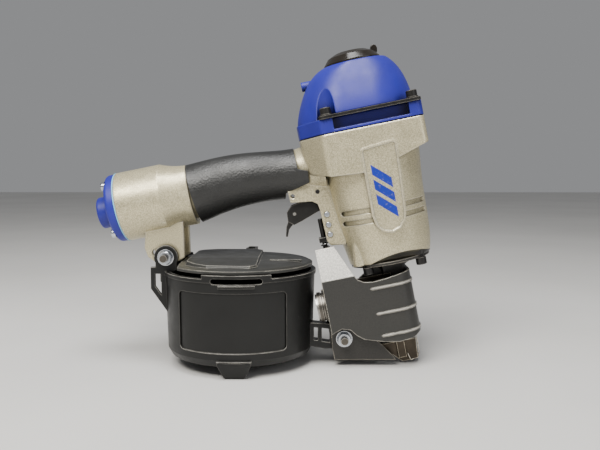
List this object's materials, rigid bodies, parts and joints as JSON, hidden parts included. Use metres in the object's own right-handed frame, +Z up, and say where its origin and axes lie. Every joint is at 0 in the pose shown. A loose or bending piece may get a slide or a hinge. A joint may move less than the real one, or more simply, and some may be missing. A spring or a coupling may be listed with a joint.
{
  "type": "pneumatic coil nail gun",
  "caption": "Air-driven coil nailer with tilted drive head, padded grip handle, rear air inlet, drum magazine and spring-loaded contact nose.",
  "frame": {"origin": "centre of the magazine drum's round base face, where the tool stands on the ground", "axes": "+Z up along the drum axis, +X from the air inlet towards the nose, +Y to the tool's left side (the door side)"},
  "size_m": [0.2752, 0.131, 0.2598],
  "materials": {
    "body_paint": "die-cast aluminium under warm silver hammered powder paint",
    "blue_cap": "deep royal blue, satin, fine moulded grain",
    "blue_gasket": "pale blue gasket sheet",
    "black_gasket": "black nitrile",
    "black_steel": "black oxide",
    "black_gloss": "glossy black moulded dome",
    "black_plastic": "charcoal glass-filled nylon, satin",
    "lid_plastic": "charcoal nylon, satin, slightly worn",
    "grip_rubber": "dark moulded grip rubber with a fine grain",
    "steel": "machined steel",
    "zinc": "bright zinc plate",
    "spring_steel": "oiled spring wire",
    "aluminium": "machined aluminium",
    "brass": "turned brass",
    "shield_paint": "dark grey speckled paint with worn bright edges",
    "nose_black": "black phosphated casting",
    "foot_steel": "bronzed hardened steel, scraped edges",
    "bumper_rubber": "dark red urethane",
    "filter_mesh": "sintered filter element"
  },
  "bodies": {
    "tool_body": {"main_housing": "body_paint", "grip_sleeve": "grip_rubber", "cap_gasket": "black_gasket", "cylinder_cap": "blue_cap", "cap_guard_bars": "black_steel", "cap_washers": "black_steel", "cap_screws": "black_steel", "deflector_screw": "black_steel", "cylinder_sleeve": "aluminium", "sleeve_seal": "black_gasket", "piston_bumper": "bumper_rubber", "end_cap_gasket": "blue_gasket", "end_cap": "blue_cap", "end_cap_screws": "zinc", "air_filter": "filter_mesh", "trigger_pin": "black_steel", "guide_rivets": "zinc", "rod_guide": "black_plastic", "trigger_valve_body": "brass", "nose_base": "nose_black", "nose_bolts": "black_steel", "door_hinge_pin": "steel", "feed_cylinder": "steel", "feed_cylinder_cap": "steel", "side_shield": "shield_paint", "shield_screws": "black_steel", "magazine_can": "black_plastic", "support_post": "black_plastic", "lid_hinge_pin": "black_steel", "magazine_bolts": "zinc", "magazine_washers": "zinc", "magazine_nuts": "zinc", "head_valve_spring": "spring_steel", "trigger_valve_spring": "spring_steel", "contact_spring": "spring_steel", "feed_spring": "spring_steel"},
    "deflector": {"exhaust_deflector": "black_gloss"},
    "head_valve": {"head_valve": "aluminium", "head_valve_ring": "black_gasket"},
    "driver": {"drive_piston": "aluminium", "piston_ring": "black_gasket", "driver_blade": "steel"},
    "trigger": {"trigger": "black_steel", "lever_pin": "steel"},
    "trigger_lever": {"trigger_lever": "steel"},
    "valve_stem": {"trigger_valve_stem": "brass"},
    "contact_safety": {"contact_foot": "foot_steel", "contact_arm": "steel", "contact_rod": "black_steel"},
    "nose_door": {"nose_door": "nose_black", "door_latch_pin": "steel"},
    "door_latch": {"door_latch": "black_steel"},
    "feed_piston": {"feed_piston": "aluminium", "feed_piston_seal": "black_gasket", "pawl_pin": "steel"},
    "feed_pawl": {"feed_pawl": "steel"},
    "magazine_lid": {"magazine_lid": "lid_plastic", "lid_latch_pin": "black_steel"},
    "lid_latch": {"lid_latch": "lid_plastic"},
    "nail_support": {"nail_support": "black_plastic"}
  },
  "joints": [
    {"name": "deflector_turn", "type": "hinge", "parent": "tool_body", "child": "deflector", "pos_m": [0.09116, 0, 0.24988], "axis": [-0.1994, 0, 0.9799], "continuous": true},
    {"name": "head_valve_lift", "type": "slide", "parent": "tool_body", "child": "head_valve", "axis": [-0.1994, 0, 0.9799], "range_m": [0, 0.005], "stiffness_N_per_m": 1500, "springref_m": -0.006, "deforming": ["head_valve_spring"]},
    {"name": "driver_stroke", "type": "slide", "parent": "tool_body", "child": "driver", "axis": [-0.1994, 0, 0.9799], "range_m": [-0.0615, 0]},
    {"name": "trigger_pull", "type": "hinge", "parent": "tool_body", "child": "trigger", "pos_m": [0.06369, 0, 0.14112], "axis": [0, 1, 0], "range_deg": [0, 8], "stiffness_Nm_per_rad": 0.4, "springref_deg": -14.32, "deforming": ["trigger_valve_spring"]},
    {"name": "trigger_lever_tilt", "type": "hinge", "parent": "trigger", "child": "trigger_lever", "pos_m": [0.04508, 0, 0.12274], "axis": [0, -1, 0], "range_deg": [0, 8], "stiffness_Nm_per_rad": 0.05, "springref_deg": -14.32},
    {"name": "valve_stem_lift", "type": "slide", "parent": "tool_body", "child": "valve_stem", "axis": [-0.1994, 0, 0.9799], "range_m": [0, 0.0023], "stiffness_N_per_m": 0.54, "springref_m": 0.05},
    {"name": "contact_safety_press", "type": "slide", "parent": "tool_body", "child": "contact_safety", "axis": [-0.1994, 0, 0.9799], "range_m": [0, 0.008], "stiffness_N_per_m": 1400, "springref_m": -0.012, "deforming": ["contact_spring"]},
    {"name": "nose_door_swing", "type": "hinge", "parent": "tool_body", "child": "nose_door", "pos_m": [0.07758, 0.01, 0.02771], "axis": [-0.1994, 0, 0.9799], "range_deg": [0, 95]},
    {"name": "door_latch_lift", "type": "hinge", "parent": "nose_door", "child": "door_latch", "pos_m": [0.11519, 0.0124, 0.04149], "axis": [-0.1994, 0, 0.9799], "range_deg": [0, 35], "stiffness_Nm_per_rad": 0.03, "springref_deg": -17.19},
    {"name": "feed_stroke", "type": "slide", "parent": "tool_body", "child": "feed_piston", "axis": [0.9799, 0, 0.1994], "range_m": [-0.012, 0], "stiffness_N_per_m": 400, "springref_m": 0.006, "deforming": ["feed_spring"]},
    {"name": "feed_pawl_swing", "type": "hinge", "parent": "feed_piston", "child": "feed_pawl", "pos_m": [0.1172, -0.012, 0.05771], "axis": [-0.1994, 0, 0.9799], "range_deg": [0, 12], "stiffness_Nm_per_rad": 0.02, "springref_deg": -17.19},
    {"name": "magazine_lid_swing", "type": "hinge", "parent": "tool_body", "child": "magazine_lid", "pos_m": [-0.05, 0.038, 0.081], "axis": [0, 0, 1], "range_deg": [0, 100]},
    {"name": "lid_latch_turn", "type": "hinge", "parent": "magazine_lid", "child": "lid_latch", "pos_m": [0.0053, 0.053, 0.0867], "axis": [0, 0, 1], "range_deg": [0, 70]},
    {"name": "nail_support_height", "type": "slide", "parent": "tool_body", "child": "nail_support", "axis": [0, 0, 1], "range_m": [0, 0.03]}
  ],
  "couplings": [
    {"joint": "valve_stem_lift", "follows": "trigger_pull", "m_per_rad": 0.015756}
  ]
}
